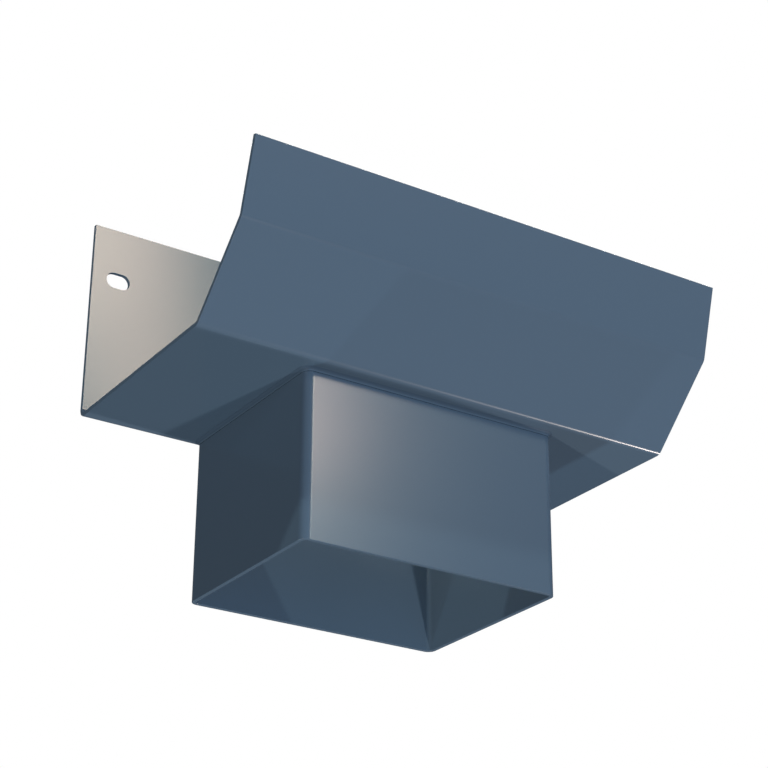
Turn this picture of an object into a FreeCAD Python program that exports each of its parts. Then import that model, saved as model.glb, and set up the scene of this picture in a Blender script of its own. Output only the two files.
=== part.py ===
"""Running outlet for a folded metal gutter: a short length of moulded gutter with a rectangular spigot.

Three pieces: the gutter section, folded from one sheet, with the outlet opening and two slots for
screws; the spigot, a rounded rectangular tube that stands in the opening flush with the sole's water
side; and the weld that runs round the tube under the sole and joins the two.

Frame: millimetres, +X along the gutter, +Y towards the wall that the gutter hangs on, +Z up. The
origin is on the spigot's centre line, on the underside of the sole.
"""
import FreeCAD, Part
import math
import os
import Sketcher
from FreeCAD import Vector

# How a constraint names the points of a line or an arc, the sketch's horizontal axis and its origin.
START, END, CENTRE = range(1, 4)
H_AXIS = ORIGIN = -START

# Driving dimensions: alias, value in millimetres, what it is.
SIZES = [
    ("gutter_length", 190.0, "gutter section, end to end"),
    ("sheet_thickness", 1.6, "sheet that the gutter section is folded from"),
    ("bend_radius", 2.0, "inside radius of each fold"),
    ("back_height", 77.6, "top edge of the wall side above the sole's underside"),
    ("front_height", 53.6, "lip of the front above the sole's underside"),
    ("lower_facet_run", 27.2, "how far the lower front facet leans out"),
    ("lower_facet_rise", 27.2, "how far the lower front facet rises"),
    ("upper_facet_run", 7.2, "how far the upper front facet leans out"),
    ("spigot_width", 101.5, "outside of the spigot along the gutter"),
    ("spigot_depth", 77.5, "outside of the spigot across the gutter"),
    ("spigot_corner_radius", 3.2, "outside radius of the spigot's upright corners"),
    ("spigot_wall", 1.6, "wall of the spigot"),
    ("spigot_drop", 60.8, "spigot's rim below the sole's underside"),
    ("wall_gap", 3.8, "spigot's back to the wall face of the gutter section"),
    ("front_margin", 6.2, "spigot's front to the fold line at the front of the sole"),
    ("fit_clearance", 0.1, "spigot to the edge of its opening, all round"),
    ("weld_leg", 1.4, "leg of the hollow fillet weld under the sole"),
    ("slot_length", 9.2, "screw slot, end to end"),
    ("slot_width", 6.1, "screw slot, across"),
    ("slot_end_distance", 10.3, "slot's centre to the end of the gutter section"),
    ("slot_top_distance", 20.6, "slot's centre to the top edge of the wall side"),
]

doc = FreeCAD.newDocument("rainwater_outlet")
sizes = doc.addObject("Spreadsheet::Sheet", "sizes")
for row, (alias, value, meaning) in enumerate(SIZES, start=1):
    sizes.set(f"A{row}", meaning)
    sizes.set(f"B{row}", str(value))
    sizes.setAlias(f"B{row}", alias)
doc.recompute()


def size(alias):
    """A driving dimension's present value, for the first placing of sketch geometry."""
    return float(getattr(sizes, alias))


def origin_plane(body, role):
    """One of the body's own origin planes, found by its role."""
    return next(item for item in body.Origin.OriginFeatures if item.Role == role)


def new_sketch(body, name, role):
    """An empty sketch on one of the body's origin planes."""
    sketch = body.newObject("Sketcher::SketchObject", name)
    sketch.AttachmentSupport = [(origin_plane(body, role), "")]
    sketch.MapMode = "FlatFace"
    return sketch


def dimension(sketch, name, constraint, expression):
    """Adds a named dimension to a sketch and ties it to the sheet."""
    index = sketch.addConstraint(constraint)
    sketch.renameConstraint(index, name)
    sketch.setExpression(f"Constraints.{name}", expression)


def closed_outline(sketch, corners):
    """Straight lines from corner to corner and back to the first, joined at their ends."""
    count = len(corners)
    lines = []
    for index, corner in enumerate(corners):
        following = corners[(index + 1) % count]
        lines.append(sketch.addGeometry(Part.LineSegment(Vector(*corner, 0), Vector(*following, 0))))
    for index, line in enumerate(lines):
        sketch.addConstraint(Sketcher.Constraint("Coincident", line, END, lines[(index + 1) % count], START))
    return lines


def rounded_rectangle(sketch, name, width, depth, radius):
    """A rounded rectangle centred on the sketch's origin; its first line is the front, from -X to +X.

    width, depth and radius are each a pair: the value to start from, and the expression that drives it.
    """
    half_w = width[0] / 2
    half_d = depth[0] / 2
    r = radius[0]
    quarter = math.pi / 2
    sides = [
        ((-half_w + r, -half_d), (half_w - r, -half_d)),
        ((half_w, -half_d + r), (half_w, half_d - r)),
        ((half_w - r, half_d), (-half_w + r, half_d)),
        ((-half_w, half_d - r), (-half_w, -half_d + r)),
    ]
    corner_centres = [
        (half_w - r, -half_d + r),
        (half_w - r, half_d - r),
        (-half_w + r, half_d - r),
        (-half_w + r, -half_d + r),
    ]
    lines = []
    arcs = []
    for turn, (side, centre) in enumerate(zip(sides, corner_centres)):
        lines.append(sketch.addGeometry(Part.LineSegment(Vector(*side[0], 0), Vector(*side[1], 0))))
        circle = Part.Circle(Vector(*centre, 0), Vector(0, 0, 1), r)
        arcs.append(sketch.addGeometry(Part.ArcOfCircle(circle, (turn - 1) * quarter, turn * quarter)))
    for turn in range(4):
        sketch.addConstraint(Sketcher.Constraint("Tangent", lines[turn], END, arcs[turn], START))
        sketch.addConstraint(Sketcher.Constraint("Tangent", arcs[turn], END, lines[(turn + 1) % 4], START))
    for line in lines[0::2]:
        sketch.addConstraint(Sketcher.Constraint("Horizontal", line))
    for line in lines[1::2]:
        sketch.addConstraint(Sketcher.Constraint("Vertical", line))
    for arc in arcs[1:]:
        sketch.addConstraint(Sketcher.Constraint("Equal", arcs[0], arc))
    sketch.addConstraint(
        Sketcher.Constraint("Symmetric", arcs[0], CENTRE, arcs[2], CENTRE, ORIGIN, START)
    )
    across = Sketcher.Constraint("DistanceX", lines[3], END, lines[1], START, width[0])
    along = Sketcher.Constraint("DistanceY", lines[0], START, lines[2], END, depth[0])
    dimension(sketch, f"{name}_width", across, width[1])
    dimension(sketch, f"{name}_depth", along, depth[1])
    dimension(sketch, f"{name}_radius", Sketcher.Constraint("Radius", arcs[0], r), radius[1])


def inner_corner(before, corner, after, thickness):
    """The point a sheet's thickness inside an outer corner, on the bisector of its two faces."""
    arriving = (corner - before).normalize()
    leaving = (after - corner).normalize()
    inward_before = Vector(arriving.y, -arriving.x, 0)
    inward_after = Vector(leaving.y, -leaving.x, 0)
    bisector = inward_before + inward_after
    return corner + bisector * (thickness / (1 + inward_before.dot(inward_after)))


def edges_along_x(shape, points):
    """Names of the shape's edges that run along X through the given places in the YZ plane."""
    names = []
    for index, edge in enumerate(shape.Edges, start=1):
        ends = [vertex.Point for vertex in edge.Vertexes]
        if len(ends) != 2 or abs(ends[0].x - ends[1].x) < 1:
            continue
        here = Vector(ends[0].y, ends[0].z, 0)
        if any((here - point).Length < 0.01 for point in points):
            names.append(f"Edge{index}")
    return names


def build_gutter_section():
    """The folded sheet: wall side, sole, and a front of two facets, with opening and screw slots."""
    body = doc.addObject("PartDesign::Body", "gutter_section")
    body.Label = "gutter_section"
    thickness = size("sheet_thickness")
    wall_y = size("spigot_depth") / 2 + size("wall_gap")
    fold_y = -size("spigot_depth") / 2 - size("front_margin")
    crease_y = fold_y - size("lower_facet_run")

    # Outer faces' corners, from the top of the wall side round to the front lip.
    outer = [
        Vector(wall_y, size("back_height"), 0),
        Vector(wall_y, 0, 0),
        Vector(fold_y, 0, 0),
        Vector(crease_y, size("lower_facet_rise"), 0),
        Vector(crease_y - size("upper_facet_run"), size("front_height"), 0),
    ]
    upper_facet = (outer[4] - outer[3]).normalize()
    inner = [
        outer[0] + Vector(-thickness, 0, 0),
        inner_corner(outer[0], outer[1], outer[2], thickness),
        inner_corner(outer[1], outer[2], outer[3], thickness),
        inner_corner(outer[2], outer[3], outer[4], thickness),
        outer[4] + Vector(upper_facet.y, -upper_facet.x, 0) * thickness,
    ]

    profile = new_sketch(body, "profile", "YZ_Plane")
    corners = [(point.x, point.y) for point in outer + inner[::-1]]
    lines = closed_outline(profile, corners)
    wall, sole, lower, upper, lip, upper_in, lower_in, sole_in, wall_in, top = lines
    for line in (wall, wall_in):
        profile.addConstraint(Sketcher.Constraint("Vertical", line))
    for line in (sole_in, top):
        profile.addConstraint(Sketcher.Constraint("Horizontal", line))
    profile.addConstraint(Sketcher.Constraint("PointOnObject", sole, START, H_AXIS))
    profile.addConstraint(Sketcher.Constraint("PointOnObject", sole, END, H_AXIS))
    profile.addConstraint(Sketcher.Constraint("Parallel", lower, lower_in))
    profile.addConstraint(Sketcher.Constraint("Parallel", upper, upper_in))
    profile.addConstraint(Sketcher.Constraint("Perpendicular", upper, lip))
    places = [
        ("wall_face", "DistanceX", (ORIGIN, START, sole, START), wall_y,
         "sizes.spigot_depth / 2 + sizes.wall_gap"),
        ("front_fold", "DistanceX", (sole, END, ORIGIN, START), -fold_y,
         "sizes.spigot_depth / 2 + sizes.front_margin"),
        ("back_height", "DistanceY", (ORIGIN, START, wall, START), size("back_height"),
         "sizes.back_height"),
        ("lower_run", "DistanceX", (lower, END, lower, START), size("lower_facet_run"),
         "sizes.lower_facet_run"),
        ("lower_rise", "DistanceY", (lower, START, lower, END), size("lower_facet_rise"),
         "sizes.lower_facet_rise"),
        ("upper_run", "DistanceX", (upper, END, upper, START), size("upper_facet_run"),
         "sizes.upper_facet_run"),
        ("front_height", "DistanceY", (ORIGIN, START, upper, END), size("front_height"),
         "sizes.front_height"),
        ("wall_thickness", "DistanceX", (wall_in, START, wall, END), thickness,
         "sizes.sheet_thickness"),
        ("sole_thickness", "DistanceY", (wall, END, wall_in, START), thickness,
         "sizes.sheet_thickness"),
        ("lower_thickness", "Distance", (lower_in, END, lower), thickness,
         "sizes.sheet_thickness"),
        ("upper_thickness", "Distance", (upper_in, END, upper), thickness,
         "sizes.sheet_thickness"),
    ]
    for name, kind, ends, value, expression in places:
        dimension(profile, name, Sketcher.Constraint(kind, *ends, value), expression)

    sheet = body.newObject("PartDesign::Pad", "folded_sheet")
    sheet.Profile = profile
    sheet.SideType = "Symmetric"
    sheet.setExpression("Length", "sizes.gutter_length")
    profile.Visibility = False
    doc.recompute()

    # True bends: one radius inside, and that radius and the sheet outside, so the sheet keeps its gauge.
    inside = body.newObject("PartDesign::Fillet", "inside_bends")
    inside.Base = (sheet, edges_along_x(sheet.Shape, inner[1:4]))
    inside.setExpression("Radius", "sizes.bend_radius")
    doc.recompute()
    outside = body.newObject("PartDesign::Fillet", "outside_bends")
    outside.Base = (inside, edges_along_x(inside.Shape, outer[1:4]))
    outside.setExpression("Radius", "sizes.bend_radius + sizes.sheet_thickness")
    doc.recompute()

    cut_outline = new_sketch(body, "opening_outline", "XY_Plane")
    clearance = size("fit_clearance")
    rounded_rectangle(
        cut_outline,
        "opening",
        (size("spigot_width") + 2 * clearance, "sizes.spigot_width + 2 * sizes.fit_clearance"),
        (size("spigot_depth") + 2 * clearance, "sizes.spigot_depth + 2 * sizes.fit_clearance"),
        (size("spigot_corner_radius") + clearance, "sizes.spigot_corner_radius + sizes.fit_clearance"),
    )
    opening = body.newObject("PartDesign::Pocket", "outlet_opening")
    opening.Profile = cut_outline
    opening.Type = "ThroughAll"
    opening.Reversed = True
    cut_outline.Visibility = False

    # The slot is drawn on the upright plane through the origin and cut towards the wall only.
    slot_outline = new_sketch(body, "slot_outline", "XZ_Plane")
    slot_r = size("slot_width") / 2
    slot_half = size("slot_length") / 2 - slot_r
    slot_x = -size("gutter_length") / 2 + size("slot_end_distance")
    slot_z = size("back_height") - size("slot_top_distance")
    left = Part.Circle(Vector(slot_x - slot_half, slot_z, 0), Vector(0, 0, 1), slot_r)
    right = Part.Circle(Vector(slot_x + slot_half, slot_z, 0), Vector(0, 0, 1), slot_r)
    left_end = slot_outline.addGeometry(Part.ArcOfCircle(left, math.pi / 2, 3 * math.pi / 2))
    right_end = slot_outline.addGeometry(Part.ArcOfCircle(right, -math.pi / 2, math.pi / 2))
    low, high = slot_z - slot_r, slot_z + slot_r
    bottom = slot_outline.addGeometry(
        Part.LineSegment(Vector(slot_x - slot_half, low, 0), Vector(slot_x + slot_half, low, 0))
    )
    roof = slot_outline.addGeometry(
        Part.LineSegment(Vector(slot_x + slot_half, high, 0), Vector(slot_x - slot_half, high, 0))
    )
    for first, second in ((left_end, bottom), (bottom, right_end), (right_end, roof), (roof, left_end)):
        slot_outline.addConstraint(Sketcher.Constraint("Tangent", first, END, second, START))
    slot_outline.addConstraint(Sketcher.Constraint("Horizontal", bottom))
    slot_outline.addConstraint(Sketcher.Constraint("Equal", left_end, right_end))
    slot_sizes = [
        ("end_radius", "Radius", (left_end,), slot_r, "sizes.slot_width / 2"),
        ("straight", "DistanceX", (bottom, START, bottom, END), 2 * slot_half,
         "sizes.slot_length - sizes.slot_width"),
        ("from_centre", "DistanceX", (right_end, CENTRE, ORIGIN, START), -slot_x - slot_half,
         "sizes.gutter_length / 2 - sizes.slot_end_distance - (sizes.slot_length - sizes.slot_width) / 2"),
        ("above_sole", "DistanceY", (ORIGIN, START, right_end, CENTRE), slot_z,
         "sizes.back_height - sizes.slot_top_distance"),
    ]
    for name, kind, ends, value, expression in slot_sizes:
        dimension(slot_outline, name, Sketcher.Constraint(kind, *ends, value), expression)
    slot = body.newObject("PartDesign::Pocket", "left_slot")
    slot.Profile = slot_outline
    slot.Type = "ThroughAll"
    slot_outline.Visibility = False
    doc.recompute()

    pair = body.newObject("PartDesign::Mirrored", "slot_pair")
    pair.Originals = [slot]
    pair.MirrorPlane = (origin_plane(body, "YZ_Plane"), [""])
    body.Tip = pair
    doc.recompute()
    return body


def build_outlet_spigot():
    """The rounded rectangular tube, from the sole's water side down to its rim."""
    body = doc.addObject("PartDesign::Body", "outlet_spigot")
    body.Label = "outlet_spigot"
    section = new_sketch(body, "tube_section", "XY_Plane")
    wall = size("spigot_wall")
    rounded_rectangle(
        section,
        "outside",
        (size("spigot_width"), "sizes.spigot_width"),
        (size("spigot_depth"), "sizes.spigot_depth"),
        (size("spigot_corner_radius"), "sizes.spigot_corner_radius"),
    )
    rounded_rectangle(
        section,
        "bore",
        (size("spigot_width") - 2 * wall, "sizes.spigot_width - 2 * sizes.spigot_wall"),
        (size("spigot_depth") - 2 * wall, "sizes.spigot_depth - 2 * sizes.spigot_wall"),
        (size("spigot_corner_radius") - wall, "sizes.spigot_corner_radius - sizes.spigot_wall"),
    )
    tube = body.newObject("PartDesign::Pad", "tube")
    tube.Profile = section
    tube.SideType = "Two sides"
    tube.setExpression("Length", "sizes.sheet_thickness")
    tube.setExpression("Length2", "sizes.spigot_drop")
    section.Visibility = False
    doc.recompute()
    return body


def build_seam_weld(gutter_section):
    """The hollow fillet weld between the tube and the sole's underside, fitted to the back bend.

    The bead is swept round the tube a little way up into the sheet, outside the opening, and the
    sheet is then cut out of it, so that it fills the wedge where the sole starts to bend upwards.
    """
    blank = doc.addObject("PartDesign::Body", "weld_blank")
    blank.Label = "weld_blank"
    path = new_sketch(blank, "tube_outline", "XY_Plane")
    rounded_rectangle(
        path,
        "tube",
        (size("spigot_width"), "sizes.spigot_width"),
        (size("spigot_depth"), "sizes.spigot_depth"),
        (size("spigot_corner_radius"), "sizes.spigot_corner_radius"),
    )

    # The bead's section stands where the path starts, at the left end of the tube's front face.
    bead = new_sketch(blank, "bead_section", "YZ_Plane")
    bead.setExpression(
        "AttachmentOffset.Base.z", "sizes.spigot_corner_radius - sizes.spigot_width / 2"
    )
    leg = size("weld_leg")
    face_y = -size("spigot_depth") / 2
    edge_y = face_y - size("fit_clearance")
    toe_y = face_y - leg
    root_z = size("sheet_thickness") / 2
    corners = [(face_y, -leg), (face_y, 0), (edge_y, 0), (edge_y, root_z), (toe_y, root_z), (toe_y, 0)]
    lines = []
    for here, there in zip(corners, corners[1:]):
        lines.append(bead.addGeometry(Part.LineSegment(Vector(*here, 0), Vector(*there, 0))))
    for line, following in zip(lines, lines[1:]):
        bead.addConstraint(Sketcher.Constraint("Coincident", line, END, following, START))
    hollow = Part.Circle(Vector(toe_y, -leg, 0), Vector(0, 0, 1), leg)
    throat = bead.addGeometry(Part.ArcOfCircle(hollow, 0, math.pi / 2))
    bead.addConstraint(Sketcher.Constraint("Coincident", throat, START, lines[0], START))
    bead.addConstraint(Sketcher.Constraint("Coincident", throat, END, lines[-1], END))
    tube_face, across_gap, opening_edge, crown, toe = lines
    for line in (tube_face, opening_edge, toe):
        bead.addConstraint(Sketcher.Constraint("Vertical", line))
    for line in (across_gap, crown):
        bead.addConstraint(Sketcher.Constraint("Horizontal", line))
    bead.addConstraint(Sketcher.Constraint("PointOnObject", tube_face, END, H_AXIS))
    bead.addConstraint(Sketcher.Constraint("PointOnObject", toe, END, H_AXIS))
    bead_sizes = [
        ("tube_face", "DistanceX", (tube_face, END, ORIGIN, START), -face_y, "sizes.spigot_depth / 2"),
        ("gap", "DistanceX", (across_gap, END, across_gap, START), size("fit_clearance"),
         "sizes.fit_clearance"),
        ("root", "DistanceY", (opening_edge, START, opening_edge, END), root_z,
         "sizes.sheet_thickness / 2"),
        ("leg_down", "DistanceY", (tube_face, START, tube_face, END), leg, "sizes.weld_leg"),
        ("leg_out", "DistanceX", (toe, END, tube_face, END), leg, "sizes.weld_leg"),
        ("throat", "Radius", (throat,), leg, "sizes.weld_leg"),
    ]
    for name, kind, ends, value, expression in bead_sizes:
        dimension(bead, name, Sketcher.Constraint(kind, *ends, value), expression)

    sweep = blank.newObject("PartDesign::AdditivePipe", "bead_sweep")
    sweep.Profile = bead
    sweep.Spine = path
    doc.recompute()

    weld = doc.addObject("Part::Cut", "seam_weld")
    weld.Label = "seam_weld"
    weld.Base = blank
    weld.Tool = gutter_section
    doc.recompute()
    return weld


def check(pieces):
    """Stops if any object failed, or a piece isn't one sound solid, and prints each piece's size."""
    for item in doc.Objects:
        if "Invalid" in item.State or "Error" in item.State:
            raise RuntimeError(f"{item.Label} failed: {item.State}")
    for piece in pieces:
        shape = piece.Shape
        if shape.isNull() or not shape.isValid() or len(shape.Solids) != 1:
            raise RuntimeError(f"{piece.Label} is not one sound solid")
        box = shape.BoundBox
        print(f"{piece.Label}: {shape.Volume / 1000:.3f} cm3, x {box.XMin:.2f} to {box.XMax:.2f},",
              f"y {box.YMin:.2f} to {box.YMax:.2f}, z {box.ZMin:.2f} to {box.ZMax:.2f}")


gutter = build_gutter_section()
spigot = build_outlet_spigot()
seam = build_seam_weld(gutter)
pieces = [gutter, spigot, seam]
check(pieces)

os.makedirs("parts", exist_ok=True)
for piece in pieces:
    piece.Shape.exportStep(f"parts/{piece.Label}.step")
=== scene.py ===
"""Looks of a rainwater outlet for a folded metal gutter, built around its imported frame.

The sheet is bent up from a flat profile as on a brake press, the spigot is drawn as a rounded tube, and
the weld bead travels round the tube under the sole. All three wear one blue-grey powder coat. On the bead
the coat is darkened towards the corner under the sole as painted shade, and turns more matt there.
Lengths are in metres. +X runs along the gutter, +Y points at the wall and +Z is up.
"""
from __future__ import annotations

import logging
import math
from dataclasses import dataclass
from enum import Enum

import bmesh
import bpy
from mathutils import Matrix, Vector

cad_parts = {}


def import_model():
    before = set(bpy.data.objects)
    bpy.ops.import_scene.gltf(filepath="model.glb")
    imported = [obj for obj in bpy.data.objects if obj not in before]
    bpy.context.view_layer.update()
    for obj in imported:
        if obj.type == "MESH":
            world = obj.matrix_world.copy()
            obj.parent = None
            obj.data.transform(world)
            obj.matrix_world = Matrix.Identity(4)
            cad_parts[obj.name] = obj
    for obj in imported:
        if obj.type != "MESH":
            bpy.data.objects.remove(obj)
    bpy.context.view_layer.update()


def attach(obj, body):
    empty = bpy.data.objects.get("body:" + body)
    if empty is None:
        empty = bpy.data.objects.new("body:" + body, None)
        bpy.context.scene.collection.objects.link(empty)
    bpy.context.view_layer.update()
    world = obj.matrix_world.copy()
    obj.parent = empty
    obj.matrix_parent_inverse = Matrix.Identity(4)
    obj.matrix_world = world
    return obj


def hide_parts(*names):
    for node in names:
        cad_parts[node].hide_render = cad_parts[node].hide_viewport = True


log = logging.getLogger("rainwater_outlet")

MM = 0.001
ONLY_BODY = "root"

FEWEST_BEND_STEPS = 6
SAME_PLANE = 0.999
SAME_POINT = 1e-6
OPAQUE = 1.0
WHITE = (1.0, 1.0, 1.0)
MID_GREY = (0.5, 0.5, 0.5)
NOISE_MIDDLE = 0.5


class Axis(Enum):
    """The frame's three directions."""

    ALONG = Vector((1.0, 0.0, 0.0))
    TO_WALL = Vector((0.0, 1.0, 0.0))
    UP = Vector((0.0, 0.0, 1.0))


@dataclass
class Pen:
    """Draws a wire in a bmesh with straight runs and arcs, as a bend line or a cutter travels."""

    mesh: bmesh.types.BMesh
    tip: bmesh.types.BMVert
    heading: Vector
    normal: Vector

    @classmethod
    def put_down(cls, mesh: bmesh.types.BMesh, start: Vector, heading: Vector, normal: Vector) -> Pen:
        """Starts a wire.

        Args:
            mesh: The bmesh to draw in.
            start: Where the wire starts.
            heading: Direction of its first run.
            normal: Normal of the plane that the wire lies in.

        Returns:
            A pen at the start.
        """
        return cls(mesh, mesh.verts.new(start), heading.normalized(), normal.normalized())

    def run(self, distance: float) -> None:
        """Draws a straight run.

        Args:
            distance: Its length.
        """
        made = bmesh.ops.extrude_vert_indiv(self.mesh, verts=[self.tip])
        self.tip = made["verts"][0]
        bmesh.ops.translate(self.mesh, verts=[self.tip], vec=self.heading * distance)

    def turn(self, angle: float, radius: float, steps: int) -> None:
        """Draws an arc that leaves the last run without a corner.

        Args:
            angle: Change of heading in radians, positive to the left for who looks against the normal.
            radius: The arc's radius.
            steps: Straight pieces that stand for the arc.
        """
        side = self.normal.cross(self.heading) * math.copysign(1.0, angle)
        made = bmesh.ops.spin(
            self.mesh,
            geom=[self.tip],
            cent=self.tip.co + side * radius,
            axis=self.normal,
            angle=angle,
            steps=steps,
            use_merge=False,
        )
        self.tip = next(item for item in made["geom_last"] if isinstance(item, bmesh.types.BMVert))
        self.heading = Matrix.Rotation(angle, 3, self.normal) @ self.heading


@dataclass(frozen=True)
class RoundedOutline:
    """A rectangle with rounded corners; with corners of half its depth it is a slot."""

    width: float
    depth: float
    corner_radius: float
    corner_steps: int

    @property
    def straight_width(self) -> float:
        """The straight part along the width.

        Returns:
            Its length.
        """
        return self.width - 2 * self.corner_radius

    @property
    def straight_depth(self) -> float:
        """The straight part along the depth.

        Returns:
            Its length.
        """
        return self.depth - 2 * self.corner_radius

    def draw(
        self, mesh: bmesh.types.BMesh, centre: Vector, across: Vector, normal: Vector
    ) -> list[bmesh.types.BMEdge]:
        """Draws the outline as a closed wire.

        Args:
            mesh: The bmesh to draw in.
            centre: The outline's centre.
            across: Direction of its width.
            normal: Normal of its plane.

        Returns:
            The wire's edges.
        """
        known = set(mesh.edges)
        start = centre - across * (self.straight_width / 2) - normal.cross(across) * (self.depth / 2)
        pen = Pen.put_down(mesh, start, across, normal)
        first = pen.tip
        for run in (self.straight_width, self.straight_depth) * 2:
            if run > 0:
                pen.run(run)
            pen.turn(math.pi / 2, self.corner_radius, self.corner_steps)
        bmesh.ops.pointmerge(mesh, verts=[first, pen.tip], merge_co=start)
        return [edge for edge in mesh.edges if edge not in known]


@dataclass(frozen=True)
class Deburr:
    """The small rounding that deburring and the coat leave on a cut edge."""

    radius: float = 0.2 * MM
    steps: int = 2
    sharper_than: float = math.radians(60)

    def apply(self, mesh: bmesh.types.BMesh) -> None:
        """Rounds every edge that is sharper than a fold.

        Args:
            mesh: A closed mesh.
        """
        rims = [edge for edge in mesh.edges if edge.calc_face_angle(0.0) > self.sharper_than]
        bmesh.ops.bevel(
            mesh,
            geom=rims,
            offset=self.radius,
            offset_type="OFFSET",
            affect="EDGES",
            segments=self.steps,
            profile=0.5,
            material=-1,
            clamp_overlap=True,
        )


def face_outwards(mesh: bmesh.types.BMesh) -> None:
    """Makes a closed mesh's faces point outwards.

    Args:
        mesh: A closed mesh.
    """
    bmesh.ops.recalc_face_normals(mesh, faces=mesh.faces)
    if mesh.calc_volume(signed=True) < 0:
        bmesh.ops.reverse_faces(mesh, faces=mesh.faces)


def finished_piece(
    name: str, mesh: bmesh.types.BMesh, node: str, coat: bpy.types.Material
) -> bpy.types.Object:
    """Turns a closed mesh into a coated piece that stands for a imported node.

    Its flats shade flat and its bends shade round, because the normals lean to the larger faces.

    Args:
        name: The piece's name.
        mesh: The mesh, which is freed.
        node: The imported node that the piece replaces.
        coat: The finish.

    Returns:
        The piece, at the origin.
    """
    for face in mesh.faces:
        face.smooth = True
    data = bpy.data.meshes.new(name)
    mesh.to_mesh(data)
    mesh.free()
    data.materials.append(coat)
    piece = bpy.data.objects.new(name, data)
    bpy.context.scene.collection.objects.link(piece)
    shading = piece.modifiers.new("flat_faces_lead", "WEIGHTED_NORMAL")
    shading.mode = "FACE_AREA"
    shading.weight = 100
    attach(piece, ONLY_BODY)
    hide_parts(node)
    return piece


@dataclass
class GutterSection:
    """The folded sheet: wall side, sole, and a front of two facets."""

    length: float = 190.0 * MM
    sheet: float = 1.6 * MM
    bend_radius: float = 2.0 * MM
    wall_face: float = 42.55 * MM
    back_height: float = 77.6 * MM
    front_fold: float = -44.95 * MM
    lower_facet_run: float = 27.2 * MM
    lower_facet_rise: float = 27.2 * MM
    upper_facet_run: float = 7.2 * MM
    front_height: float = 53.6 * MM
    opening: RoundedOutline = RoundedOutline(101.7 * MM, 77.7 * MM, 3.3 * MM, 10)
    slot: RoundedOutline = RoundedOutline(9.2 * MM, 6.1 * MM, 3.05 * MM, 12)
    slot_end_distance: float = 10.3 * MM
    slot_top_distance: float = 20.6 * MM
    steps_per_right_angle: int = 24
    rims: Deburr = Deburr()

    def _draw_profile(self, mesh: bmesh.types.BMesh) -> None:
        """Draws the outer face's line, from the top of the wall side round to the front lip.

        Args:
            mesh: The bmesh to draw in.
        """
        radius = self.bend_radius + self.sheet
        upper_rise = self.front_height - self.lower_facet_rise
        lower_slope = math.atan2(self.lower_facet_rise, self.lower_facet_run)
        upper_slope = math.atan2(upper_rise, self.upper_facet_run)
        folds = [math.pi / 2, lower_slope, upper_slope - lower_slope]
        taken = [radius * math.tan(fold / 2) for fold in folds]
        panels = [
            self.back_height - taken[0],
            self.wall_face - self.front_fold - taken[0] - taken[1],
            math.hypot(self.lower_facet_run, self.lower_facet_rise) - taken[1] - taken[2],
            math.hypot(self.upper_facet_run, upper_rise) - taken[2],
        ]
        top = Vector((-self.length / 2, self.wall_face, self.back_height))
        pen = Pen.put_down(mesh, top, -Axis.UP.value, -Axis.ALONG.value)
        pen.run(panels[0])
        for fold, panel in zip(folds, panels[1:]):
            steps = round(self.steps_per_right_angle * fold / (math.pi / 2))
            pen.turn(fold, radius, max(FEWEST_BEND_STEPS, steps))
            pen.run(panel)

    def _cut(
        self, mesh: bmesh.types.BMesh, outline: RoundedOutline, centres: list[Vector], normal: Vector
    ) -> None:
        """Cuts holes of one outline in the flat panel under them.

        Args:
            mesh: The sheet's outer face.
            outline: Each hole's outline.
            centres: Where the holes are.
            normal: The panel's normal.
        """
        middle = sum(centres, Vector()) / len(centres)
        facing = [face for face in mesh.faces if abs(face.normal.dot(normal)) > SAME_PLANE]
        panel = min(facing, key=lambda face: (face.calc_center_median() - middle).length)
        rim = list(panel.edges)
        bmesh.ops.delete(mesh, geom=[panel], context="FACES_ONLY")
        for centre in centres:
            rim += outline.draw(mesh, centre, Axis.ALONG.value, normal)
        bmesh.ops.triangle_fill(mesh, edges=rim, use_beauty=True, use_dissolve=False, normal=normal)

    def build(self, coat: bpy.types.Material) -> bpy.types.Object:
        """Bends up the sheet, cuts its holes and gives it its thickness.

        Args:
            coat: The finish.

        Returns:
            The piece.
        """
        mesh = bmesh.new()
        self._draw_profile(mesh)
        drawn = bmesh.ops.extrude_edge_only(mesh, edges=mesh.edges)
        far_end = [item for item in drawn["geom"] if isinstance(item, bmesh.types.BMVert)]
        bmesh.ops.translate(mesh, verts=far_end, vec=Axis.ALONG.value * self.length)
        mesh.normal_update()

        self._cut(mesh, self.opening, [Vector()], -Axis.UP.value)
        slot_x = self.length / 2 - self.slot_end_distance
        slot_z = self.back_height - self.slot_top_distance
        slots = [Vector((side * slot_x, self.wall_face, slot_z)) for side in (-1, 1)]
        self._cut(mesh, self.slot, slots, Axis.TO_WALL.value)

        bmesh.ops.recalc_face_normals(mesh, faces=mesh.faces)
        bmesh.ops.solidify(mesh, geom=mesh.faces, thickness=self.sheet)
        face_outwards(mesh)
        self.rims.apply(mesh)
        return finished_piece("gutter_sheet", mesh, "gutter_section", coat)


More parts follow.
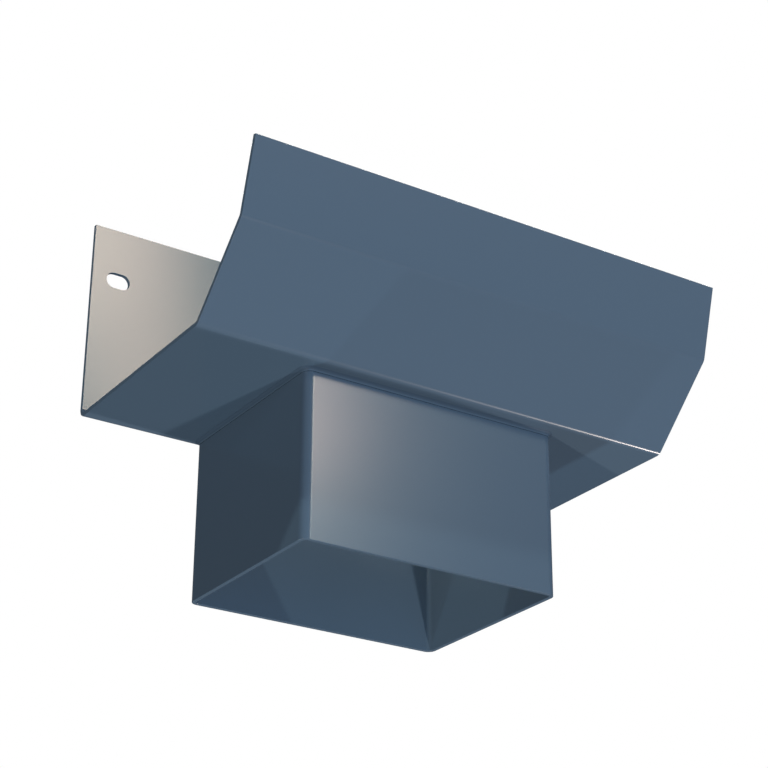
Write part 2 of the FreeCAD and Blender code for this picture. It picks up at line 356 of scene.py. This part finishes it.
@dataclass
class OutletSpigot:
    """The rounded rectangular tube, from the sole's water side down to its rim."""

    outline: RoundedOutline = RoundedOutline(101.5 * MM, 77.5 * MM, 3.2 * MM, 12)
    top: float = 1.6 * MM
    rim: float = -60.8 * MM
    wall: float = 1.6 * MM
    rims: Deburr = Deburr()

    def build(self, coat: bpy.types.Material) -> bpy.types.Object:
        """Draws the tube down from its outline and gives it its wall.

        Args:
            coat: The finish.

        Returns:
            The piece.
        """
        mesh = bmesh.new()
        edges = self.outline.draw(mesh, Vector((0.0, 0.0, self.top)), Axis.ALONG.value, Axis.UP.value)
        drawn = bmesh.ops.extrude_edge_only(mesh, edges=edges)
        lower = [item for item in drawn["geom"] if isinstance(item, bmesh.types.BMVert)]
        bmesh.ops.translate(mesh, verts=lower, vec=Axis.UP.value * (self.rim - self.top))
        bmesh.ops.recalc_face_normals(mesh, faces=mesh.faces)
        bmesh.ops.solidify(mesh, geom=mesh.faces, thickness=self.wall)
        face_outwards(mesh)
        self.rims.apply(mesh)
        return finished_piece("spigot_tube", mesh, "outlet_spigot", coat)


@dataclass
class SeamWeld:
    """The hollow fillet of weld that runs round the tube under the sole."""

    tube: RoundedOutline
    leg: float = 1.4 * MM
    root: float = 0.8 * MM
    throat_steps: int = 8

    def _draw_section(self, mesh: bmesh.types.BMesh, tube_face: Vector) -> None:
        """Draws the bead's section against the front of the tube.

        Args:
            mesh: The bmesh to draw in.
            tube_face: Where the sole meets the tube in the section's plane.
        """
        start = tube_face - Axis.UP.value * self.leg
        pen = Pen.put_down(mesh, start, Axis.UP.value, Axis.ALONG.value)
        first = pen.tip
        pen.turn(math.pi / 2, self.leg, self.throat_steps)
        pen.heading = Axis.UP.value
        pen.run(self.root)
        pen.heading = Axis.TO_WALL.value
        pen.run(self.leg)
        bmesh.ops.contextual_create(mesh, geom=[pen.tip, first])

    def build(self, coat: bpy.types.Material) -> bpy.types.Object:
        """Runs the bead once round the tube.

        Its root is buried in the sheet, so that it stays seated where the sole starts to bend up.

        Args:
            coat: The finish.

        Returns:
            The piece.
        """
        half_w = self.tube.straight_width / 2
        half_d = self.tube.straight_depth / 2
        mesh = bmesh.new()
        self._draw_section(mesh, Vector((-half_w, -self.tube.depth / 2, 0.0)))
        section = list(mesh.edges)
        heading = Axis.ALONG.value.copy()
        corners = [
            Vector((half_w, -half_d, 0.0)),
            Vector((half_w, half_d, 0.0)),
            Vector((-half_w, half_d, 0.0)),
            Vector((-half_w, -half_d, 0.0)),
        ]
        quarter = math.pi / 2
        for corner, run in zip(corners, (2 * half_w, 2 * half_d) * 2):
            drawn = bmesh.ops.extrude_edge_only(mesh, edges=section)["geom"]
            moved = [item for item in drawn if isinstance(item, bmesh.types.BMVert)]
            bmesh.ops.translate(mesh, verts=moved, vec=heading * run)
            ahead = [item for item in drawn if isinstance(item, bmesh.types.BMEdge) and item.is_boundary]
            front = [edge for edge in ahead if set(edge.verts) <= set(moved)]
            turned = bmesh.ops.spin(
                mesh,
                geom=front + moved,
                cent=corner,
                axis=Axis.UP.value,
                angle=quarter,
                steps=self.tube.corner_steps,
                use_merge=False,
            )
            section = [item for item in turned["geom_last"] if isinstance(item, bmesh.types.BMEdge)]
            heading = Matrix.Rotation(quarter, 3, Axis.UP.value) @ heading
        bmesh.ops.remove_doubles(mesh, verts=mesh.verts, dist=SAME_POINT)
        face_outwards(mesh)
        return finished_piece("weld_bead", mesh, "seam_weld", coat)


def group_with_sockets(
    name: str, inputs: dict[str, float | tuple[float, ...]], outputs: dict[str, str]
) -> bpy.types.NodeTree:
    """Makes an empty shader node group with named sockets.

    Args:
        name: The group's name.
        inputs: Each input and its starting value, a number or a colour.
        outputs: Each output and its socket type.

    Returns:
        The group, with its input and output nodes.
    """
    group = bpy.data.node_groups.new(name, "ShaderNodeTree")
    for socket_name, value in inputs.items():
        kind = "NodeSocketColor" if isinstance(value, tuple) else "NodeSocketFloat"
        socket = group.interface.new_socket(name=socket_name, in_out="INPUT", socket_type=kind)
        socket.default_value = value
    for socket_name, kind in outputs.items():
        group.interface.new_socket(name=socket_name, in_out="OUTPUT", socket_type=kind)
    group.nodes.new("NodeGroupInput").name = "in"
    group.nodes.new("NodeGroupOutput").name = "out"
    return group


def by_identifier(sockets: bpy.types.bpy_prop_collection, identifier: str) -> bpy.types.NodeSocket:
    """Finds a socket where several share one name.

    Args:
        sockets: A node's inputs or outputs.
        identifier: The socket's identifier.

    Returns:
        The socket.
    """
    return next(socket for socket in sockets if socket.identifier == identifier)


@dataclass(frozen=True)
class OrangePeel:
    """The faint ripple of a powder coat that has flowed out in the oven."""

    wavelength: float = 1.6 * MM
    octaves: float = 1.0
    fine_wavelength: float = 0.35 * MM
    fine_octaves: float = 0.0
    fine_share: float = 0.15

    def group(self) -> bpy.types.NodeTree:
        """Builds the node group.

        Returns:
            A group from a place on the piece to a height between 0 and 1.
        """
        tree = group_with_sockets(
            "orange_peel", {"Fine Share": self.fine_share}, {"Height": "NodeSocketFloat"}
        )
        nodes, links = tree.nodes, tree.links
        place = nodes.new("ShaderNodeTexCoord")
        wave = nodes.new("ShaderNodeTexNoise")
        wave.inputs["Scale"].default_value = 1 / self.wavelength
        wave.inputs["Detail"].default_value = self.octaves
        grit = nodes.new("ShaderNodeTexNoise")
        grit.inputs["Scale"].default_value = 1 / self.fine_wavelength
        grit.inputs["Detail"].default_value = self.fine_octaves
        both = nodes.new("ShaderNodeMix")
        links.new(place.outputs["Object"], wave.inputs["Vector"])
        links.new(place.outputs["Object"], grit.inputs["Vector"])
        links.new(nodes["in"].outputs["Fine Share"], both.inputs["Factor"])
        links.new(wave.outputs["Fac"], both.inputs["A"])
        links.new(grit.outputs["Fac"], both.inputs["B"])
        links.new(both.outputs["Result"], nodes["out"].inputs["Height"])
        return tree


@dataclass(frozen=True)
class CoatTone:
    """How a sprayed coat's colour and gloss drift a little with its thickness."""

    cloud: float = 55.0 * MM
    octaves: float = 2.0
    drift: float = 0.015
    gloss_drift: float = 0.02

    def group(self) -> bpy.types.NodeTree:
        """Builds the node group.

        Returns:
            A group from the coat's plain colour and roughness to ones that vary over the piece.
        """
        tree = group_with_sockets(
            "coat_tone",
            {
                "Colour": (*MID_GREY, OPAQUE),
                "Roughness": 0.0,
                "Drift": self.drift,
                "Gloss Drift": self.gloss_drift,
            },
            {"Colour": "NodeSocketColor", "Roughness": "NodeSocketFloat"},
        )
        nodes, links = tree.nodes, tree.links
        source, sink = nodes["in"], nodes["out"]
        place = nodes.new("ShaderNodeTexCoord")
        clouds = nodes.new("ShaderNodeTexNoise")
        clouds.inputs["Scale"].default_value = 1 / self.cloud
        clouds.inputs["Detail"].default_value = self.octaves
        links.new(place.outputs["Object"], clouds.inputs["Vector"])
        centred = nodes.new("ShaderNodeMath")
        centred.operation = "SUBTRACT"
        centred.inputs[1].default_value = NOISE_MIDDLE
        links.new(clouds.outputs["Fac"], centred.inputs[0])

        gain = nodes.new("ShaderNodeMath")
        gain.operation = "MULTIPLY_ADD"
        gain.inputs[2].default_value = 1.0
        links.new(centred.outputs[0], gain.inputs[0])
        links.new(source.outputs["Drift"], gain.inputs[1])
        tint = nodes.new("ShaderNodeVectorMath")
        tint.operation = "SCALE"
        links.new(source.outputs["Colour"], tint.inputs[0])
        links.new(gain.outputs[0], tint.inputs["Scale"])
        links.new(tint.outputs[0], sink.inputs["Colour"])

        gloss = nodes.new("ShaderNodeMath")
        gloss.operation = "MULTIPLY_ADD"
        links.new(centred.outputs[0], gloss.inputs[0])
        links.new(source.outputs["Gloss Drift"], gloss.inputs[1])
        links.new(source.outputs["Roughness"], gloss.inputs[2])
        links.new(gloss.outputs[0], sink.inputs["Roughness"])
        return tree


@dataclass(frozen=True)
class CornerPaintedShade:
    """Painted shade on a coat: it darkens towards the inside corner under the sole, where shade falls, and
    turns more matt there.

    Both levels are heights above the sole's underside.
    """

    unshaded_below: float = -1.1 * MM
    shaded_above: float = -0.5 * MM
    # How far the painted shade darkens the colour at the corner.
    tint: tuple[float, float, float] = (0.625, 0.656, 0.703)
    added_roughness: float = 0.3

    def group(self) -> bpy.types.NodeTree:
        """Builds the node group.

        Returns:
            A group from the coat's colour and roughness to ones with painted shade and more roughness near
            the corner, by a place's height.
        """
        tree = group_with_sockets(
            "corner_painted_shade",
            {
                "Colour": (*MID_GREY, OPAQUE),
                "Roughness": 0.0,
                "Tint": (*self.tint, OPAQUE),
                "Added": self.added_roughness,
            },
            {"Colour": "NodeSocketColor", "Roughness": "NodeSocketFloat"},
        )
        nodes, links = tree.nodes, tree.links
        source, sink = nodes["in"], nodes["out"]
        place = nodes.new("ShaderNodeTexCoord")
        split = nodes.new("ShaderNodeSeparateXYZ")
        links.new(place.outputs["Object"], split.inputs["Vector"])
        shade_share = nodes.new("ShaderNodeMapRange")
        shade_share.interpolation_type = "SMOOTHSTEP"
        shade_share.inputs["From Min"].default_value = self.unshaded_below
        shade_share.inputs["From Max"].default_value = self.shaded_above
        links.new(split.outputs["Z"], shade_share.inputs["Value"])

        # Painted shade: the colour is multiplied down towards the corner under the sole.
        darker = nodes.new("ShaderNodeMix")
        darker.data_type = "RGBA"
        darker.blend_type = "MULTIPLY"
        links.new(shade_share.outputs["Result"], by_identifier(darker.inputs, "Factor_Float"))
        links.new(source.outputs["Colour"], by_identifier(darker.inputs, "A_Color"))
        links.new(source.outputs["Tint"], by_identifier(darker.inputs, "B_Color"))
        links.new(by_identifier(darker.outputs, "Result_Color"), sink.inputs["Colour"])

        rougher = nodes.new("ShaderNodeMath")
        rougher.operation = "MULTIPLY_ADD"
        links.new(shade_share.outputs["Result"], rougher.inputs[0])
        links.new(source.outputs["Added"], rougher.inputs[1])
        links.new(source.outputs["Roughness"], rougher.inputs[2])
        links.new(rougher.outputs[0], sink.inputs["Roughness"])
        return tree


@dataclass(frozen=True)
class PowderCoat:
    """Satin blue-grey polyester powder coat on aluminium."""

    name: str = "blue_grey_powder_coat"
    colour: tuple[float, float, float] = (0.08, 0.125, 0.185)
    roughness: float = 0.2
    ior: float = 1.5
    specular_level: float = 0.5
    peel_height: float = 0.01 * MM
    peel_strength: float = 0.02
    peel: OrangePeel = OrangePeel()
    tone: CoatTone = CoatTone()
    # Painted shade towards the inside corner under the sole, where one is given.
    corner: CornerPaintedShade | None = None

    def material(self) -> bpy.types.Material:
        """Builds the material.

        Returns:
            The coat.
        """
        coat = bpy.data.materials.new(self.name)
        coat.use_nodes = True
        nodes, links = coat.node_tree.nodes, coat.node_tree.links
        shader = nodes["Principled BSDF"]
        shader.inputs["IOR"].default_value = self.ior
        shader.inputs["Specular IOR Level"].default_value = self.specular_level

        tone = nodes.new("ShaderNodeGroup")
        tone.node_tree = self.tone.group()
        tone.inputs["Colour"].default_value = (*self.colour, OPAQUE)
        tone.inputs["Roughness"].default_value = self.roughness
        last = tone
        # Where given, painted shade darkens the colour towards the corner, and roughness rises there.
        if self.corner:
            last = nodes.new("ShaderNodeGroup")
            last.node_tree = self.corner.group()
            links.new(tone.outputs["Colour"], last.inputs["Colour"])
            links.new(tone.outputs["Roughness"], last.inputs["Roughness"])
        links.new(last.outputs["Colour"], shader.inputs["Base Color"])
        links.new(last.outputs["Roughness"], shader.inputs["Roughness"])

        peel = nodes.new("ShaderNodeGroup")
        peel.node_tree = self.peel.group()
        bump = nodes.new("ShaderNodeBump")
        bump.inputs["Strength"].default_value = self.peel_strength
        bump.inputs["Distance"].default_value = self.peel_height
        links.new(peel.outputs["Height"], bump.inputs["Height"])
        links.new(bump.outputs["Normal"], shader.inputs["Normal"])
        return coat


# The coat on the weld: less glossy all over, darkened towards the corner under the sole as painted shade,
# and more matt there.
CORNER_SHADED_COAT = PowderCoat("blue_grey_powder_coat_with_painted_corner_shade", specular_level=0.1, corner=CornerPaintedShade())


def direction(azimuth: float, elevation: float) -> Vector:
    """The direction towards a place in the studio.

    Args:
        azimuth: Degrees round from the part's front, positive towards its right end.
        elevation: Degrees above the level.

    Returns:
        A unit vector.
    """
    az, el = math.radians(azimuth), math.radians(elevation)
    return Vector((math.sin(az) * math.cos(el), -math.cos(az) * math.cos(el), math.sin(el)))


@dataclass(frozen=True)
class PhotoCamera:
    """The camera at the photograph's place: low, at the left of the front, looking up at the part."""

    azimuth: float = -32.617
    elevation: float = -25.154
    roll: float = -0.379
    distance: float = 728.3 * MM
    aim: tuple[float, float, float] = (0.11 * MM, -6.95 * MM, 18.87 * MM)
    lens: float = 95.0
    sensor: float = 36.0
    sees: tuple[float, float] = (0.01, 100.0)

    def place(self) -> None:
        """Puts the camera up and makes it the scene's own."""
        data = bpy.data.cameras.new("photo_camera")
        data.lens = self.lens
        data.sensor_width = self.sensor
        data.sensor_fit = "HORIZONTAL"
        data.clip_start, data.clip_end = self.sees
        camera = bpy.data.objects.new("photo_camera", data)
        back = direction(self.azimuth, self.elevation)
        level = Axis.UP.value.cross(back).normalized()
        over = back.cross(level)
        turn = Matrix((level, over, back)).transposed().to_4x4()
        roll = Matrix.Rotation(math.radians(-self.roll), 4, "Z")
        camera.matrix_world = Matrix.Translation(Vector(self.aim) + back * self.distance) @ turn @ roll
        bpy.context.scene.collection.objects.link(camera)
        bpy.context.scene.camera = camera


class Front(Enum):
    """The shapes that a lamp's diffusing front comes in."""

    ROUND = "DISK"
    STRIP = "RECTANGLE"


@dataclass(frozen=True)
class Lamp:
    """A lamp with a diffusing front that faces the part.

    Most stand far off, so that their light falls alike on the whole part, as a large studio's does. Angles
    are in degrees: where the lamp stands, half of what its front takes up seen from the part, and how far
    it is turned about its own axis. Stretch is a front's height over its width, and radiance is in watts
    per square metre and steradian.
    """

    name: str
    azimuth: float
    elevation: float
    half_angle: float
    radiance: tuple[float, float, float]
    distance: float = 6.0
    front: Front = Front.ROUND
    stretch: float = 1.0
    turn: float = 0.0

    def place(self) -> None:
        """Puts the lamp up."""
        width = 2 * self.distance * math.tan(math.radians(self.half_angle))
        height = width * self.stretch
        area = width * height
        if self.front is Front.ROUND:
            area *= math.pi / 4
        peak = max(self.radiance)
        data = bpy.data.lights.new(self.name, "AREA")
        data.shape = self.front.value
        data.size = width
        if self.front is Front.STRIP:
            data.size_y = height
        data.energy = math.pi * area * peak
        data.color = [channel / peak for channel in self.radiance]
        lamp = bpy.data.objects.new(self.name, data)
        outwards = direction(self.azimuth, self.elevation)
        facing = outwards.to_track_quat("Z", "Y").to_matrix().to_4x4()
        turned = Matrix.Rotation(math.radians(self.turn), 4, "Z")
        lamp.matrix_world = Matrix.Translation(outwards * self.distance) @ facing @ turned
        lamp.visible_camera = False
        bpy.context.scene.collection.objects.link(lamp)


def seen_by(piece: bpy.types.Object, camera: bool = False, glossy: bool = False) -> None:
    """Limits a stage piece to the rays that may meet it.

    Args:
        piece: The stage piece.
        camera: Whether the camera sees it.
        glossy: Whether reflections show it.
    """
    piece.visible_camera = camera
    piece.visible_glossy = glossy
    piece.visible_diffuse = False
    piece.visible_transmission = False
    piece.visible_shadow = False


@dataclass(frozen=True)
class Studio:
    """Plain pale floor, white surroundings, dark drapes for the coat to reflect, and the lamps."""

    floor_level: float = -60.8 * MM
    floor_radius: float = 3.0
    floor_sides: int = 96
    floor_colour: tuple[float, float, float] = (0.8, 0.8, 0.8)
    floor_fade: tuple[float, float] = (0.3, 1.6)
    drape_radius: float = 15.0
    drape_fineness: int = 3
    ambient: tuple[float, float, float] = (0.047, 0.06, 0.078)
    lamps: tuple[Lamp, ...] = (
        Lamp("front_fill_panel", -4.6, -7.5, 24.0, (0.51, 0.96, 1.49)),
        Lamp("front_key_from_below", 10.3, -35.1, 1.1, (1050.0, 1005.0, 922.0)),
        Lamp("left_spot_from_below", -69.2, -38.5, 1.0, (1234.0, 1068.0, 883.0)),
        Lamp("back_spot_from_below", -152.0, -53.7, 1.0, (675.0, 806.0, 832.0)),
        Lamp("top_left_spot", -54.2, 51.8, 1.0, (1040.0, 1107.0, 1005.0)),
        Lamp("right_spot_from_below", 94.5, -49.5, 1.0, (1126.0, 980.0, 894.0)),
        Lamp("front_softbox_low", 24.8, 20.0, 4.4, (7.22, 7.72, 6.84)),
        Lamp("front_softbox_high", 17.8, 30.6, 5.1, (18.02, 15.07, 11.39)),
        Lamp("front_softbox_middle", 24.0, 27.0, 6.0, (0.13, 1.68, 1.58)),
        Lamp("back_fill", 145.0, 38.0, 12.0, (24.0, 24.0, 24.0)),
        Lamp("front_strip_near", 20.0, 29.7, 3.56, (9.91, 6.63, 5.38), 0.6367, Front.STRIP, 3.34, 15.1),
    )

    def _lay_floor(self) -> None:
        """Lays the floor, which fades into the white surroundings.

        It can only be seen from above, because the photograph looks up from below it.
        """
        mesh = bmesh.new()
        bmesh.ops.create_circle(mesh, cap_ends=True, segments=self.floor_sides, radius=self.floor_radius)
        bmesh.ops.translate(mesh, verts=mesh.verts, vec=Axis.UP.value * self.floor_level)
        data = bpy.data.meshes.new("floor")
        mesh.to_mesh(data)
        mesh.free()
        floor = bpy.data.objects.new("floor", data)
        bpy.context.scene.collection.objects.link(floor)
        seen_by(floor, camera=True)

        paint = bpy.data.materials.new("pale_floor")
        paint.use_nodes = True
        nodes, links = paint.node_tree.nodes, paint.node_tree.links
        nodes.remove(nodes["Principled BSDF"])
        matt = nodes.new("ShaderNodeBsdfDiffuse")
        matt.inputs["Color"].default_value = (*self.floor_colour, OPAQUE)
        clear = nodes.new("ShaderNodeBsdfTransparent")
        place = nodes.new("ShaderNodeTexCoord")
        reach = nodes.new("ShaderNodeVectorMath")
        reach.operation = "LENGTH"
        links.new(place.outputs["Object"], reach.inputs[0])
        fade = nodes.new("ShaderNodeMapRange")
        fade.interpolation_type = "SMOOTHSTEP"
        fade.inputs["From Min"].default_value, fade.inputs["From Max"].default_value = self.floor_fade
        links.new(reach.outputs["Value"], fade.inputs["Value"])
        side = nodes.new("ShaderNodeNewGeometry")
        gone = nodes.new("ShaderNodeMath")
        gone.operation = "MAXIMUM"
        links.new(side.outputs["Backfacing"], gone.inputs[0])
        links.new(fade.outputs["Result"], gone.inputs[1])
        one_sided = nodes.new("ShaderNodeMixShader")
        links.new(gone.outputs[0], one_sided.inputs["Fac"])
        links.new(matt.outputs["BSDF"], one_sided.inputs[1])
        links.new(clear.outputs["BSDF"], one_sided.inputs[2])
        links.new(one_sided.outputs["Shader"], nodes["Material Output"].inputs["Surface"])
        data.materials.append(paint)

    def _hang_drapes(self) -> None:
        """Hangs dark drapes all round, behind the lamps, which only the coat's reflections show.

        They look as dim as the light that comes from all round.
        """
        mesh = bmesh.new()
        bmesh.ops.create_icosphere(mesh, subdivisions=self.drape_fineness, radius=self.drape_radius)
        data = bpy.data.meshes.new("dark_drapes")
        mesh.to_mesh(data)
        mesh.free()
        drapes = bpy.data.objects.new("dark_drapes", data)
        bpy.context.scene.collection.objects.link(drapes)
        seen_by(drapes, glossy=True)

        cloth = bpy.data.materials.new("dark_drape")
        cloth.use_nodes = True
        nodes, links = cloth.node_tree.nodes, cloth.node_tree.links
        nodes.remove(nodes["Principled BSDF"])
        dim = nodes.new("ShaderNodeEmission")
        dim.inputs["Color"].default_value = (*self.ambient, OPAQUE)
        links.new(dim.outputs["Emission"], nodes["Material Output"].inputs["Surface"])
        data.materials.append(cloth)

    def _surround(self) -> None:
        """Makes what surrounds the studio white to look at and dim as a light."""
        world = bpy.data.worlds.new("studio")
        bpy.context.scene.world = world
        world.use_nodes = True
        nodes, links = world.node_tree.nodes, world.node_tree.links
        dim = nodes["Background"]
        dim.inputs["Color"].default_value = (*self.ambient, OPAQUE)
        white = nodes.new("ShaderNodeBackground")
        white.inputs["Color"].default_value = (*WHITE, OPAQUE)
        ray = nodes.new("ShaderNodeLightPath")
        seen = ray.outputs["Is Camera Ray"]
        for other in ("Is Glossy Ray", "Is Transmission Ray"):
            either = nodes.new("ShaderNodeMath")
            either.operation = "MAXIMUM"
            links.new(seen, either.inputs[0])
            links.new(ray.outputs[other], either.inputs[1])
            seen = either.outputs[0]
        mix = nodes.new("ShaderNodeMixShader")
        links.new(seen, mix.inputs["Fac"])
        links.new(dim.outputs["Background"], mix.inputs[1])
        links.new(white.outputs["Background"], mix.inputs[2])
        links.new(mix.outputs["Shader"], nodes["World Output"].inputs["Surface"])

    def set_up(self) -> None:
        """Lays the floor, hangs the drapes, sets the surroundings and puts the lamps up."""
        bpy.context.scene.view_settings.view_transform = "Standard"
        self._surround()
        self._lay_floor()
        self._hang_drapes()
        for lamp in self.lamps:
            lamp.place()


def main() -> None:
    """Builds the outlet's looks and the studio round it."""
    logging.basicConfig(level=logging.INFO, format="%(message)s")
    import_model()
    # The weld's coat carries painted shade towards the corner under the sole.
    coat, corner_shaded_coat = PowderCoat().material(), CORNER_SHADED_COAT.material()
    spigot = OutletSpigot()
    weld = SeamWeld(tube=spigot.outline)
    for maker, finish in ((GutterSection(), coat), (spigot, coat), (weld, corner_shaded_coat)):
        piece = maker.build(finish)
        log.info("%s: %d faces", piece.name, len(piece.data.polygons))
    Studio().set_up()
    PhotoCamera().place()


if __name__ == "__main__":
    main()
